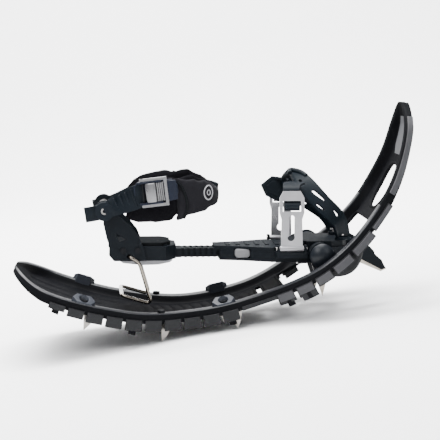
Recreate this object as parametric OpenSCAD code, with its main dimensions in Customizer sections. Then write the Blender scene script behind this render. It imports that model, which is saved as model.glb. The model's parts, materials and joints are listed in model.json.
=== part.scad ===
// Flexible snowshoe with a step-in strap binding, drawn with its deck flexed.
// The binding frame has its rail level; stand() then pitches the whole
// snowshoe onto its middle and front spikes, with +X forward and +Z up.

/* [Deck] */
// Length of the deck along its curve
deck_len = 605; // [600:1:610]
// Half width of the deck at its widest, under the heel end
tail_half = 101; // [97:1:104]
// Half width of the deck at its waist
waist_half = 71; // [70:1:73]
// Half width of the deck beside the toe opening
toe_half = 105; // [103:1:107]
// Height of the side ridge above the web
ridge_h = 10; // [8:0.5:10]
// Thickness of the web
web_t = 3; // [2.5:0.25:3]
// Length of one skirt block plus its gap
block_pitch = 22.4; // [22:0.1:25]
// Gap between two skirt blocks
block_gap = 3.5; // [2:0.5:5]
// How far a skirt block reaches below the ridge
block_depth = 21; // [19:0.5:22]

/* [Spikes] */
// Thickness of the steel spike plates
spike_t = 3; // [2:0.5:3]
// Diameter of the screws that hold them
spike_screw_d = 5; // [4:0.5:5]

/* [Binding] */
// Diameter of the toe axle
axle_d = 10; // [8:0.5:11]
// Radial clearance of the running fits
fit = 0.08; // [0.02:0.01:0.1]
// Height of the silver side links
link_h = 70; // [66:1:72]
// Width of the silver side links
link_w = 28; // [26:1:29]
// Width of the toothed rail
rail_w = 30; // [26:1:31]

/* [Heel] */
// Width of the heel plate
heel_w = 76; // [72:1:76]
// Diameter of the heel lift wire
wire_d = 4.4; // [3.6:0.2:4.6]
// Radius of the round heads of the heel arms
arm_head_r = 12; // [11:0.5:13]

/* [Ankle strap] */
// Thickness of the ankle pad
pad_t = 13; // [10:0.5:14]
// Width of the ladder strap
ladder_w = 24; // [22:0.5:25]

/* [Hidden] */
$fn = 48;

// Colours
anthracite = [0.11, 0.12, 0.14];
charcoal = [0.17, 0.19, 0.22];
mid_grey = [0.45, 0.45, 0.47];
silver = [0.78, 0.78, 0.79];
steel = [0.62, 0.59, 0.55];
cloth = [0.15, 0.15, 0.17];

// Pose of the binding frame on the ground: pitch, then the shift that puts
// the middle of the underside of the bounding box at the origin
pitch = 8.08;
ground_shift = [5.11, 0, 124.65];

// Curve of the deck in the XZ plane: the tail's end, and the slope at
// points along its length, in degrees
tail_end = [-247.4, -51.3];
slopes = [[0, -29.5], [20, -29.5], [60, -19], [150, -8], [230, 8], [400, 38], [520, 66], [605, 88]];
step = 5;
function slope(s) = lookup(s, slopes);
SPINE = [for (i = 0, p = tail_end; i <= deck_len / step + 1;
              p = p + step * [cos(slope((i + 0.5) * step)), sin(slope((i + 0.5) * step))], i = i + 1) p];
function spine(s) = let (k = floor(s / step), f = s / step - k) SPINE[k] * (1 - f) + SPINE[k + 1] * f;

// Half width of the deck along its length, with round ends
halves = [[0, tail_half], [60, tail_half], [140, tail_half - 8], [225, waist_half], [285, waist_half],
          [385, toe_half], [490, toe_half - 19], [570, toe_half - 40], [deck_len, toe_half - 46]];
tail_round = 50;
nose_round = 55;
function eased(s, k, i = 0) =
  i >= len(k) - 2 || s <= k[i + 1][0]
  ? k[i][1] + (k[i + 1][1] - k[i][1]) * (1 - cos(180 * max(0, min(1, (s - k[i][0]) / (k[i + 1][0] - k[i][0]))))) / 2
  : eased(s, k, i + 1);
function end_round(d, r) = d >= r ? 1 : sqrt(1 - pow((r - d) / (r + 1), 2));
function half(s) = eased(s, halves) * end_round(s, tail_round) * end_round(deck_len - s, nose_round);

// Stations of the swept deck: close together at the round ends
end_steps = [0, 2, 5, 10, 17, 26, 37, 50];
STATIONS = concat(end_steps, [for (s = [68:18:deck_len - 66]) s],
                  [for (i = [len(end_steps) - 1:-1:0]) deck_len - end_steps[i]]);

// Skirt blocks: evenly pitched behind the plain rail, growing towards the nose
rear_blocks_from = 49;
rear_block_count = 10;
front_blocks = [316, 339, 363, 387, 416, 451, 489];
// Moulded pegs under the skirt
peg_at = [60, 149, 262, 330, 353];
wall_h = 9;

// Steel spikes: distances along the deck, and blade outlines there, along
// the deck and square to it
spike_at = [88, 181, 257];
screw_inset = 12;
// Six-sided bosses in the rails: the rear and front ones stand above the rail and
// slope outwards round the screw's head, the middle one stays inside
boss_outline = [[-14.5, 0], [-9, -7.2], [9, -7.2], [14.5, 0], [9, 7.2], [-9, 7.2]];
boss_low = -6.4;
boss_top = [11, -0.5, 11];
boss_mid = 5;
boss_tilt = 28;
seat_n = [1, 0, 1];
blades = [
  [[3.5, -9.2], [18, -9.2], [17.5, -17], [8.4, -30.9]],
  [[-1, -9.2], [13, -9.2], [11, -21], [7, -28], [0.6, -35.3]],
  [[-8, -9.2], [20, -9.2], [15, -24], [9.5, -32.6], [6, -21], [2, -16.8], [-4.5, -22.7]]
];

// Toe pivot in the binding frame: x and z, and its distance along the deck
pivot = [116, -36];
pivot_s = 389;
bracket_y = 63;
opening_half = 61;
bush_d = axle_d + 4;

// Toe plate and the length rail that slides in it
plate_z = [-46.5, -34, -22];
cover_low = -29.2;
rail_z = [-43.5, -32.5];
rail_x = [-92, 52];
rail_room = 97;
tooth_pitch = 7;
toe_outline = [[-2, 19.5], [22, 26], [60, 44], [101, 46], [131, 46], [146, 36], [152, 24]];
crampon_screws_at = [[95.5, 20], [95.5, -20], [126, 17], [126, -17]];
harness_rivet_at = [144, 27];
button_at = [25, -37.6];
button_size = [18, 9.5, 10.5];
button_travel = 3;

// Side links: distance along, and the hinge's side offset and height
link_x = 81.5;
link_hinge = [55.5, -29];
link_pin_d = 4;
link_t = 2.5;

// Heel: lift wire pivot, arm rivet, and the arms' inner face
wire_pivot = [-112, -38];
arm_rivet = [-141, 17];
arm_y = heel_w / 2 + 0.1;
arm_t = 5.2;
rivet_d = 8;
arm_screws_at = [[-119, -31], [-101.5, -31]];

// Ankle strap, in plan: middle of its round front, and its half axes
ankle_x = -58;
ankle_front = 57;
ankle_half = 60;
strap_t = 3;
buckle_at = [-82, -62.4, 41.5];
buckle_turn = [0, -7, -5.4];
frame_pin = [-13, -7];
drum_pin = [3, -8.2];

// Placing
module stand() {
  translate(ground_shift) rotate([0, pitch, 0]) children();
}
module at_station(s, y = 0, n = 0) {
  translate([spine(s)[0], y, spine(s)[1]]) rotate([0, -slope(s), 0]) translate([0, 0, n]) children();
}
// At the screw of a spike, turned to follow the deck's edge
module at_screw(i) {
  s = spike_at[i];
  at_station(s, half(s) - screw_inset) rotate([0, 0, atan((half(s + 1) - half(s - 1)) / 2)]) children();
}
module on_side(side) {
  mirror([0, side < 0 ? 1 : 0, 0]) children();
}
module mirrored() {
  children();
  mirror([0, 1, 0]) children();
}
// Outline in the XZ plane, extruded from one y to another
module across(y0, y1) {
  translate([0, max(y0, y1), 0]) rotate([90, 0, 0]) linear_extrude(abs(y1 - y0)) children();
}
module rounded(size, r) {
  square([size[0] - 2 * r, size[1]], center = true);
  square([size[0], size[1] - 2 * r], center = true);
  for (x = [-1, 1], y = [-1, 1]) translate([x * (size[0] / 2 - r), y * (size[1] / 2 - r)]) circle(r);
}
module box(x, y, z) {
  translate([min(x), min(y), min(z)])
    cube([max(x) - min(x), max(y) - min(y), max(z) - min(z)]);
}
// Round bar across the snowshoe, at a point of the XZ plane
module pin(at, d, y0, y1) {
  translate([at[0], min(y0, y1), at[1]]) rotate([-90, 0, 0]) cylinder(d = d, h = abs(y1 - y0));
}

// ---- Deck: a curved web, a moulded rail down each side, and grip blocks under the rails ----
module deck() {
  color(anthracite) stand() difference() {
    sweep([for (s = STATIONS) web_ring(s)]);
    opening(331, 460, 2 * opening_half, 10);
    opening(474, 532, 60, 22);
    opening(300, 309, 70, 4);
  }
}
module side_rail(side) {
  color(charcoal) stand() on_side(side) difference() {
    union() {
      sweep([for (s = STATIONS) rail_ring(s)]);
      for (i = [0:2]) at_screw(i) translate([0, 0, boss_low]) linear_extrude(boss_top[i] - boss_low)
        polygon(boss_outline);
    }
    for (i = [0:2]) at_screw(i) {
      translate([0, 0, boss_mid]) rotate([-boss_tilt, 0, 0]) box([-20, 20], [-30, 30], [0, 20]);
      translate([0, 0, seat_n[i]]) cylinder(d = spike_screw_d + 5, h = 20);
      translate([0, 0, -20]) cylinder(d = spike_screw_d + 0.4, h = 40);
    }
  }
}
module side_rail_right() { side_rail(-1); }
module side_rail_left() { side_rail(1); }
module grip_blocks(side) {
  color(charcoal) stand() on_side(side) {
    for (i = [0:rear_block_count - 1])
      skirt_block(rear_blocks_from + i * block_pitch, rear_blocks_from + (i + 1) * block_pitch);
    for (i = [0:len(front_blocks) - 2]) skirt_block(front_blocks[i], front_blocks[i + 1]);
    for (s = peg_at) at_station(s, half(s) - 4.5, -skirt(s) - 5) translate([-4, 0, 0]) cube([8, 3.5, 8]);
  }
}
module grip_blocks_right() { grip_blocks(-1); }
module grip_blocks_left() { grip_blocks(1); }
// Outlines of the web and of one rail at a station: y, and height square to the deck
function ramp(s) = min(1, (min(s, deck_len - s) + 3) / 28);
function web_top(s) = -ridge_h * ramp(s);
function web_low(s) = web_top(s) - web_t - 2 * (1 - ramp(s));
function web_ring(s) =
  let (e = half(s) - 22 * narrowing(s) - 0.05)
  [lift(s, e, web_top(s)), lift(s, e, web_low(s)), lift(s, -e, web_low(s)), lift(s, -e, web_top(s))];
function rail_ring(s) =
  let (h = half(s), k = narrowing(s), w = web_top(s), d = -min(wall_h, skirt(s)))
  [for (p = [[6, 0], [3, -2], [3, d], [7, d], [8, -4.5], [15, -4.5], [20, web_low(s)], [22, web_low(s)],
             [22, w], [18, w * 0.15], [15, 0]]) lift(s, h - p[0] * k, p[1])];
function narrowing(s) = min(1, half(s) / 48);
function skirt(s) = lookup(s, [[0, 7], [40, 12], [60, 15], [90, 19], [130, block_depth], [400, block_depth],
                               [500, 11], [605, 8]]);
function lift(s, y, n) = [spine(s)[0] - n * sin(slope(s)), y, spine(s)[1] + n * cos(slope(s))];
// Solid through a row of closed outlines
module sweep(rings) {
  n = len(rings[0]);
  m = len(rings);
  polyhedron(
    points = [for (r = rings, p = r) p],
    faces = concat(
      [[for (j = [n - 1:-1:0]) j]],
      [for (i = [0:m - 2], j = [0:n - 1]) [i * n + j, i * n + (j + 1) % n, (i + 1) * n + (j + 1) % n]],
      [for (i = [0:m - 2], j = [0:n - 1]) [i * n + j, (i + 1) * n + (j + 1) % n, (i + 1) * n + j]],
      [[for (j = [0:n - 1]) (m - 1) * n + j]]),
    convexity = 6);
}
// One skirt block between two distances along the deck
module skirt_block(s0, s1) {
  mid = (s0 + s1) / 2;
  a = s0 + block_gap / 2;
  b = s1 - block_gap / 2;
  at_station(mid, 0, -skirt(mid)) linear_extrude(skirt(mid) - wall_h - 0.3)
    polygon([[a - mid, half(a) - 5], [b - mid, half(b) - 5], [b - mid, half(b)], [a - mid, half(a)]]);
}
module opening(s0, s1, w, r) {
  at_station((s0 + s1) / 2, 0, -40) linear_extrude(70) rounded([s1 - s0, w], r);
}
module nose_insert() {
  color(mid_grey) stand() at_station(556, 0, -ridge_h + 1.3) linear_extrude(1.5) rounded([42, 56], 12);
}

// ---- Spikes ----
module spike(i, side) {
  top = boss_low - 0.1;
  color(steel) stand() on_side(side) at_screw(i) difference() {
    union() {
      box([-9, 18], [-3.6, 3.8], [top - spike_t, top]);
      translate([0, 3, 0]) rotate([90, 0, 0]) linear_extrude(spike_t) polygon(blades[i]);
    }
    translate([0, 0, -60]) cylinder(d = spike_screw_d, h = 100);
  }
}
module spike_rear_right() { spike(0, -1); }
module spike_rear_left() { spike(0, 1); }
module spike_middle_right() { spike(1, -1); }
module spike_middle_left() { spike(1, 1); }
module spike_front_right() { spike(2, -1); }
module spike_front_left() { spike(2, 1); }
module spike_screws() {
  color(steel) stand() for (i = [0:2]) mirrored() at_screw(i) {
    translate([0, 0, boss_low - spike_t - 0.1]) cylinder(d = spike_screw_d, h = seat_n[i] - boss_low + spike_t + 0.2);
    translate([0, 0, seat_n[i]]) cylinder(d = spike_screw_d + 4, h = 3);
  }
}

// ---- Toe pivot ----
module bracket(side) {
  color(charcoal) stand() on_side(side) difference() {
    union() {
      pin(pivot, 25, bracket_y, bracket_y + 10);
      at_station(pivot_s, bracket_y, -ridge_h + 1.2) translate([-14, 0.3, 0.5]) cube([28, 9.4, 12]);
      at_station(pivot_s, bracket_y, -ridge_h + 1.2) translate([-24, 0.5, 0]) cube([48, 9, 3.5]);
    }
    pin(pivot, axle_d + 0.04, bracket_y - 1, bracket_y + 14);
  }
}
module pivot_bracket_right() { bracket(-1); }
module pivot_bracket_left() { bracket(1); }
// Domed cover: a slice of a sphere
module pivot_cap(side) {
  dome_r = 19.1;
  dome_h = 7;
  color(charcoal) stand() on_side(side)
    translate([pivot[0], bracket_y + 10.1 - dome_r + dome_h, pivot[1]]) rotate([-90, 0, 0])
      rotate_extrude() intersection() {
        circle(dome_r, $fn = 96);
        translate([0, dome_r - dome_h]) square([dome_r, dome_h]);
      }
}
module pivot_cap_right() { pivot_cap(-1); }
module pivot_cap_left() { pivot_cap(1); }
module toe_axle() {
  color(steel) stand() pin(pivot, axle_d, -bracket_y - 9.9, bracket_y + 9.9);
}
module axle_bushes() {
  color(silver) stand() mirrored() difference() {
    pin(pivot, bush_d, 40, 60);
    pin(pivot, axle_d + 2 * fit, 39, 61);
  }
}

// ---- Toe plate: floor, hubs, rail channel and link lugs ----
module toe_plan(grow = 0) {
  n = len(toe_outline);
  polygon(concat([for (p = toe_outline) [p[0], -p[1] - grow]],
                 [for (i = [n - 1:-1:0]) [toe_outline[i][0], toe_outline[i][1] + grow]]));
}
module button_pocket() {
  box([button_at[0] - button_size[0] / 2 - 0.3, button_at[0] + button_size[0] / 2 + 0.3], [-40, -16.3],
      [button_at[1] - button_size[2] / 2 - 0.3, button_at[1] + button_size[2] / 2 + 0.3]);
}
module rail_channel() {
  box([-12, rail_room], [-rail_w / 2 - 0.3, rail_w / 2 + 0.3], [rail_z[0] - 0.3, rail_z[1] + 0.3]);
}
module toe_plate() {
  color(anthracite) stand() difference() {
    union() {
      translate([0, 0, plate_z[0]]) linear_extrude(plate_z[1] - plate_z[0]) toe_plan();
      mirrored() pin(pivot, 27, 44, 59);
      mirrored() {
        box([link_x - 18.5, link_x + 18.5], [38, 59.5], [-40, plate_z[1] + 0.8]);
        for (e = [-17.8, 14.8]) box([link_x + e, link_x + e + 3], [51, 59.5], [-34, -25]);
      }
    }
    rail_channel();
    button_pocket();
    pin(pivot, bush_d + 0.04, -61, 61);
    box([100, 132], [-38, 38], [plate_z[0] + 4, 0]);
    mirrored() translate([0, 0, plate_z[0] + 4]) linear_extrude(60)
      polygon([[34, 19], [34, 27], [60, 36], [86, 36], [86, 27], [80, 19]]);
    for (p = crampon_screws_at) translate([p[0], p[1], -60]) cylinder(d = 4.1, h = 30);
    mirrored() translate([harness_rivet_at[0], harness_rivet_at[1], -60]) cylinder(d = 4.1, h = 40);
    mirrored() translate([link_x - 25, link_hinge[0], link_hinge[1]]) rotate([0, 90, 0])
      cylinder(d = link_pin_d + 0.04, h = 50);
  }
}
module toe_cover() {
  color(charcoal) stand() difference() {
    union() {
      translate([0, 0, plate_z[1] + 0.1]) linear_extrude(cover_low - plate_z[1] - 0.1) toe_plan(-0.5);
      box([-8.2, 2], [-18.5, 18.5], [plate_z[1] + 0.1, cover_low]);
      intersection() {
        translate([0, 0, plate_z[1] + 1]) linear_extrude(plate_z[2] - plate_z[1] - 1) toe_plan(-4);
        across(-60, 60) polygon([[84, -40], [160, -40], [160, plate_z[2]], [94, plate_z[2]], [84, cover_low]]);
      }
      for (x = [6:12:78]) box([x, x + 5], [-14, 14], [cover_low - 1, cover_low + 0.9]);
    }
    intersection() {
      translate([0, 0, plate_z[1] - 6]) linear_extrude(14) toe_plan(-6.5);
      box([94, 147], [-60, 60], [-60, 0]);
    }
    rail_channel();
    button_pocket();
    mirrored() pin(pivot, 28, 43.6, 61);
    pin(pivot, bush_d + 1, -61, 61);
    mirrored() box([link_x - 19.5, link_x + 19.5], [36, 62], [plate_z[1], 0]);
    for (p = crampon_screws_at) translate([p[0], p[1], -60]) cylinder(d = 4.1, h = 30);
    mirrored() translate([harness_rivet_at[0], harness_rivet_at[1], -60]) cylinder(d = 4.1, h = 60);
  }
}

// ---- Toe crampon: steel base with front fangs and rear fangs ----
module toe_crampon() {
  base_z = plate_z[0] - 0.2;
  color(steel) stand() difference() {
    union() {
      box([91.5, 138], [-34, 34], [base_z - 3, base_z]);
      mirrored() {
        across(24, 27) polygon([[112, base_z - 3], [166, -49.5], [194, -61.5], [201, -58], [199, -55], [160, -38],
                                [153, -38], [153, base_z], [112, base_z]]);
        across(30, 33) polygon([[108, base_z - 2], [130, base_z - 2], [127, -70], [122, -90], [117, -76]]);
      }
    }
    for (p = crampon_screws_at) translate([p[0], p[1], -70]) cylinder(d = 4.1, h = 40);
  }
}
module crampon_fins() {
  color(charcoal) stand() mirrored() {
    across(34.3, 37.5) polygon([[109, -46.7], [129, -46.7], [126.5, -68], [121, -74], [115.5, -68]]);
    across(27.3, 32) polygon([[152.6, -43.5], [152.6, -29.5], [165, -21], [180, -30.5], [185, -36], [186, -39.5], [194.5, -47],
             [197, -52.5], [199.5, -57], [194, -58.6], [167, -44.5]]);
  }
}
module crampon_screws() {
  color(steel) stand() for (p = crampon_screws_at) translate([p[0], p[1], plate_z[0] - 5.2]) {
    cylinder(d = 8, h = 2);
    cylinder(d = 4, h = 16);
  }
}

// ---- Toe harness ----
// A rounded strip through pairs of edge points
module strip(upper, lower, r) {
  for (i = [0:len(upper) - 2]) hull()
    for (p = [upper[i], lower[i], upper[i + 1], lower[i + 1]]) translate(p) sphere(r, $fn = 10);
}
module toe_harness() {
  color(charcoal) stand() difference() {
    union() {
      for (side = [-1, 1]) on_side(side) {
        set_back = side < 0 ? 0 : 12;
        strip([[154, 22, -19], [146, 30, 12], [128 - set_back, 30, 30], [108 - set_back, 14, 52]],
              [[140, 34, -19], [134, 40, -2], [110 - set_back, 40, 20], [90 - set_back, 30, 42]], 2);
      }
      hull() for (p = [[108, -14, 52], [90, -30, 42], [96, 14, 52], [78, 30, 42], [84, 0, 58]])
        translate(p) sphere(2, $fn = 10);
    }
    mirrored() translate([harness_rivet_at[0], harness_rivet_at[1], 0]) {
      translate([0, 0, -60]) cylinder(d = 4.1, h = 60);
      translate([0, 0, -16.8]) cylinder(d = 9.6, h = 16);
    }
    translate([0, 0, plate_z[2] - 10]) box([100, 160], [-50, 50], [0, 10.3]);
  }
}
module toe_pad() {
  color(anthracite) stand() across(35.3, 38)
    polygon([[53.6, 39.4], [67.3, 50.3], [81, 48.6], [83.6, 33], [76.1, 18.1], [59.9, 25.7]]);
}
module harness_rivets() {
  color(steel) stand() mirrored() translate([harness_rivet_at[0], harness_rivet_at[1], -40]) {
    cylinder(d = 4, h = 22);
    translate([0, 0, 23.5]) cylinder(d = 9, h = 2);
    cylinder(d = 3.9, h = 24);
  }
}

// ---- Side links ----
module link_pins() {
  color(steel) stand() mirrored()
    translate([link_x - 18.5, link_hinge[0], link_hinge[1]]) rotate([0, 90, 0]) cylinder(d = link_pin_d, h = 37);
}
module side_link(side) {
  top = link_h + link_hinge[1] - 1;
  half_w = link_w / 2;
  color(silver) stand() on_side(side) translate([link_x, 0, 0]) difference() {
    union() {
      across(link_hinge[0] - link_t / 2, link_hinge[0] + link_t / 2)
        polygon([[-half_w + 1, link_hinge[1]], [-half_w + 1.7, 6], [-half_w - 0.8, 14], [-half_w - 0.8, top - 8],
                 [-half_w + 3.5, top], [half_w - 3.5, top], [half_w + 0.8, top - 8], [half_w + 0.8, 14],
                 [half_w - 1.7, 6], [half_w - 1, link_hinge[1]]]);
      translate([-half_w, link_hinge[0], link_hinge[1]]) rotate([0, 90, 0]) cylinder(d = 7, h = 2 * half_w);
    }
    translate([-half_w - 1, link_hinge[0], link_hinge[1]]) rotate([0, 90, 0])
      cylinder(d = link_pin_d + 2 * fit, h = 2 * half_w + 2);
    box([-11, 11], [50, 60], [15.5, 28.5]);
    box([-3.1, 3.1], [50, 60], [-13, 8]);
    pin([0, 8], 6.2, 50, 60);
    pin([-0.8, -15.5], 9, 50, 60);
  }
}
module side_link_right() { side_link(-1); }
module side_link_left() { side_link(1); }
// Strap end folded through the slot of a link
module toe_strap(side) {
  color(charcoal) stand() on_side(side) translate([link_x - 9.5, 0, 0]) rotate([90, 0, 90]) linear_extrude(19)
    polygon([[51.2, 14], [51.2, 41.5], [43.5, 48], [45, 50.5], [53.9, 43.2], [53.9, 28], [58.3, 27], [59.3, 22],
             [58.3, 17], [53.9, 16], [53.9, 14]]);
}
module toe_strap_right() { toe_strap(-1); }
module toe_strap_left() { toe_strap(1); }

// ---- Length adjustment ----
module release_button() {
  color(mid_grey) stand() difference() {
    box([button_at[0] - button_size[0] / 2, button_at[0] + button_size[0] / 2], [-29.5, -29.5 + button_size[1]],
        [button_at[1] - button_size[2] / 2, button_at[1] + button_size[2] / 2]);
    pin(button_at, 5.6, -27, -15);
    for (x = [-5:2.5:5])
      box([button_at[0] + x - 0.4, button_at[0] + x + 0.4], [-30, -28.9], [button_at[1] - 3.5, button_at[1] + 3.5]);
  }
}
// Return spring at its pressed length, as a sleeve of its outer size
module button_spring() {
  color(steel) stand() difference() {
    pin(button_at, 5, -23.8, -16.4);
    pin(button_at, 3.8, -24, -16);
  }
}
module length_rail() {
  color(anthracite) stand() difference() {
    box(rail_x, [-rail_w / 2, rail_w / 2], rail_z);
    for (x = [-48:tooth_pitch:40]) mirrored() box([x, x + tooth_pitch / 2], [rail_w / 2 - 3.5, 40], [-50, 0]);
    for (x = [-44:tooth_pitch:36]) box([x, x + 2.5], [-7, 7], [rail_z[1] - 1.5, 0]);
  }
}

// ---- Heel ----
module heel_plate() {
  w = heel_w / 2;
  color(anthracite) stand() difference() {
    union() {
      translate([0, 0, -44]) linear_extrude(17)
        polygon([[-131, -26], [-123, -w], [-68, -w], [-55, -19], [-55, 19], [-68, w], [-123, w], [-131, 26]]);
      for (x = [-120:10:-70]) box([x, x + 4], [-30, 30], [-28, -25.6]);
    }
    box(rail_x, [-rail_w / 2, rail_w / 2], rail_z);
    pin(wire_pivot, wire_d + 2 * fit, -60, -24);
    pin(wire_pivot, wire_d + 2 * fit, 24, 60);
    for (p = arm_screws_at) {
      pin(p, 4, -60, -22);
      pin(p, 4, 22, 60);
    }
  }
}
module heel_damper() {
  color([0.6, 0.6, 0.61]) stand() across(-33, 33)
    polygon([[-124, -44.1], [-119, -47.5], [-96, -50], [-76, -49.6], [-63, -46.8], [-59, -44.1]]);
}
module heel_tread() {
  color(charcoal) stand() difference() {
    translate([0, 0, -26.9]) linear_extrude(4)
      polygon([[-127, -24], [-120, -33], [-72, -33], [-62, -18], [-62, 18], [-72, 33], [-120, 33], [-127, 24]]);
    for (x = [-120:10:-70]) box([x - 0.3, x + 4.3], [-30.3, 30.3], [-28, -25.3]);
  }
}
module heel_arm(side) {
  color(anthracite) stand() on_side(side) difference() {
    union() {
      across(arm_y, arm_y + arm_t)
        polygon([[-130, -43.5], [-136, -36.5], [-135.5, -25], [-138.5, -16.6], [-142.5, 2], [-141, 17], [-128, 13],
                 [-120, 6.5], [-111, -0.5], [-100, -14.5], [-93.7, -30.4], [-91, -43.5]]);
      pin(arm_rivet, 2 * arm_head_r, arm_y, arm_y + arm_t);
    }
    pin(arm_rivet, rivet_d + 0.04, 0, 60);
    pin(wire_pivot, wire_d + 0.6, 0, 60);
    for (p = arm_screws_at) pin(p, 4, 0, 60);
    across(arm_y - 1, arm_y + arm_t + 1) polygon([[-127, -10.8], [-115.5, -17.4], [-123.8, -20]]);
  }
}
module heel_arm_right() { heel_arm(-1); }
module heel_arm_left() { heel_arm(1); }
module arm_screws() {
  color(steel) stand() for (p = arm_screws_at) mirrored() {
    pin(p, 4, 24, arm_y + arm_t + 1);
    pin(p, 7, arm_y + arm_t, arm_y + arm_t + 2);
  }
}
// Wire bail: a closed loop whose two ends turn in the heel plate
WIRE = [[-112, 25, -38], [-112, 46.2, -38], [-100, 46.2, -44.6], [-86.5, 40, -92], [-90, 39, -94.8], [-121, 38, -85.5]];
module lift_wire() {
  color(silver) stand() union() {
    mirrored() {
      for (i = [0:len(WIRE) - 2]) rod(WIRE[i], WIRE[i + 1], wire_d);
      for (i = [1:len(WIRE) - 1]) translate(WIRE[i]) sphere(d = wire_d + 0.06);
    }
    pin([WIRE[5][0], WIRE[5][2]], wire_d, -38, 38);
  }
}
module rod(a, b, d) {
  v = b - a;
  translate(a) rotate([0, acos(v[2] / norm(v)), atan2(v[1], v[0])]) cylinder(d = d, h = norm(v));
}
module ankle_rivet(side) {
  color(steel) stand() on_side(side) difference() {
    union() {
      pin(arm_rivet, rivet_d, arm_y - 1.5, arm_y + arm_t + 6);
      pin(arm_rivet, 17, arm_y + arm_t + 4, arm_y + arm_t + 6);
      pin(arm_rivet, 12, arm_y - 1.5, arm_y);
    }
    pin(arm_rivet, 4.2, 0, 60);
  }
}
module ankle_rivet_right() { ankle_rivet(-1); }
module ankle_rivet_left() { ankle_rivet(1); }

// ---- Ankle strap ----
// Side outline of the padded band
module band_side(grow = 0) {
  across(-80, 80) polygon([[-118, 8 - grow], [-118, 31 + grow], [-109, 40 + grow], [-97, 47 + grow], [-82, 52 + grow],
    [-63, 56 + grow], [-41, 57 + grow], [-22, 54 + grow], [-10, 47 + grow], [0, 37], [0, 25], [-8, 20 - grow],
    [-22, 15 - grow], [-45, 9 - grow], [-70, 3 - grow], [-90, 2 - grow], [-106, 4 - grow]]);
}
// Half ellipse round the front of the ankle, from the right side to the left
function front(a, b) = [for (t = [-90:10:90]) [ankle_x + a * cos(t), b * sin(t)]];
function back(p) = [for (i = [len(p) - 1:-1:0]) p[i]];
module ankle_pad() {
  inner = pad_t;
  color(cloth) stand() intersection() {
    band_side();
    linear_extrude(200, center = true) polygon(concat(
      [[-118, -54], [ankle_x - 2, -ankle_half]], front(ankle_front - inner / 2, ankle_half - inner / 2),
      [[ankle_x - 2, ankle_half], [-118, 54], [-118, 46.5]],
      back(front(ankle_front - inner, ankle_half - inner)), [[-118, -46.5]]));
  }
}
module pad_sleeve() {
  color(cloth) stand() intersection() {
    band_side(1);
    translate([0.3, 0, 0]) linear_extrude(200, center = true) polygon(concat(
      front(ankle_front, ankle_half + 1), back(front(ankle_front - pad_t / 2 + 0.2, ankle_half - pad_t / 2 + 0.3))));
  }
}
module badge() {
  color(mid_grey) stand() translate([-15, -44.6, 38]) rotate([90, 0, 39]) cylinder(d = 18, h = 1.2);
}
// Strap band on one side: plan of its thickness, and its tilted side outline
module side_strap(side, from_x, to_x) {
  w = ladder_w / 2;
  plan = [[-166, 43.8], [-131, 43.8], [-121, 55], [-60.5, 61.2]];
  mid_line = [[-166, 20], [-141, 25], [-110, 35], [-82, 41.5], [-60, 44.5]];
  on_side(side) difference() {
    intersection() {
      linear_extrude(200, center = true) polygon(concat(
        plan, [for (i = [len(plan) - 1:-1:0]) plan[i] + [i == 2 ? -1.2 : 0, strap_t]]));
      across(0, 80) polygon(concat([for (p = mid_line) p + [0, w]], [for (p = back(mid_line)) p - [0, w]]));
      box([from_x, to_x], [0, 80], [-100, 100]);
    }
    pin(arm_rivet, rivet_d + 2 * fit, 0, 60);
  }
}
module ladder_strap() {
  color(anthracite) stand() side_strap(-1, -163, -61);
}
module anchor_strap() {
  color(anthracite) stand() side_strap(1, -154, -95);
}

// ---- Ratchet buckle: x along the strap, -y outwards, z across it ----
module on_buckle() {
  stand() translate(buckle_at) rotate([0, buckle_turn[1], 0]) rotate([0, 0, buckle_turn[2]]) children();
}
module upright(at, d, h) {
  translate([at[0], at[1], -h / 2]) cylinder(d = d, h = h);
}
module buckle_base() {
  color(charcoal) on_buckle() difference() {
    union() {
      box([-19, 15], [-2.2, -0.2], [-13.5, 13.5]);
      for (z = [-13.5, 11.5]) box([-17, 9], [-11.5, -2], [z, z + 2]);
    }
    upright(frame_pin, 3.04, 60);
    upright(drum_pin, 3.04, 60);
  }
}
module buckle_pin() {
  color(steel) on_buckle() upright(frame_pin, 3, 35);
}
module pawl_pin() {
  color(steel) on_buckle() upright(drum_pin, 3, 27);
}
module buckle_frame() {
  color(silver) on_buckle() difference() {
    union() {
      for (z = [-17, 13.8]) box([-16, 15], [-9, -5], [z, z + 3.2]);
      box([12.5, 16], [-9.5, -5], [-17, 17]);
    }
    upright(frame_pin, 3 + 2 * fit, 60);
  }
}
module thumb_tab() {
  color([0.13, 0.15, 0.2]) on_buckle() translate([0, 0, -11.5]) linear_extrude(23)
    polygon([[16.1, -8.8], [16.1, -5], [21, -3.6], [26, -4.4], [27, -6.4], [23, -8.4]]);
}
module buckle_pawl() {
  color(silver) on_buckle() difference() {
    union() {
      upright(drum_pin, 11, 22);
      translate([0, 0, -11]) linear_extrude(22) polygon([[-4.5, -12.4], [3, -13.7], [3, -8], [-3.5, -8]]);
    }
    upright(drum_pin, 3 + 2 * fit, 60);
  }
}

// ---- Drawing ----
deck();
side_rail_right();
side_rail_left();
grip_blocks_right();
grip_blocks_left();
nose_insert();
spike_rear_right();
spike_rear_left();
spike_middle_right();
spike_middle_left();
spike_front_right();
spike_front_left();
spike_screws();
pivot_bracket_right();
pivot_bracket_left();
pivot_cap_right();
pivot_cap_left();
toe_axle();
toe_plate();
toe_cover();
axle_bushes();
toe_crampon();
crampon_fins();
crampon_screws();
toe_harness();
toe_pad();
harness_rivets();
link_pins();
side_link_right();
side_link_left();
toe_strap_right();
toe_strap_left();
release_button();
button_spring();
length_rail();
heel_plate();
heel_damper();
heel_tread();
heel_arm_right();
heel_arm_left();
arm_screws();
lift_wire();
ankle_rivet_right();
ankle_rivet_left();
ankle_pad();
pad_sleeve();
badge();
ladder_strap();
anchor_strap();
buckle_base();
buckle_pin();
buckle_frame();
thumb_tab();
buckle_pawl();
pawl_pin();
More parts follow.
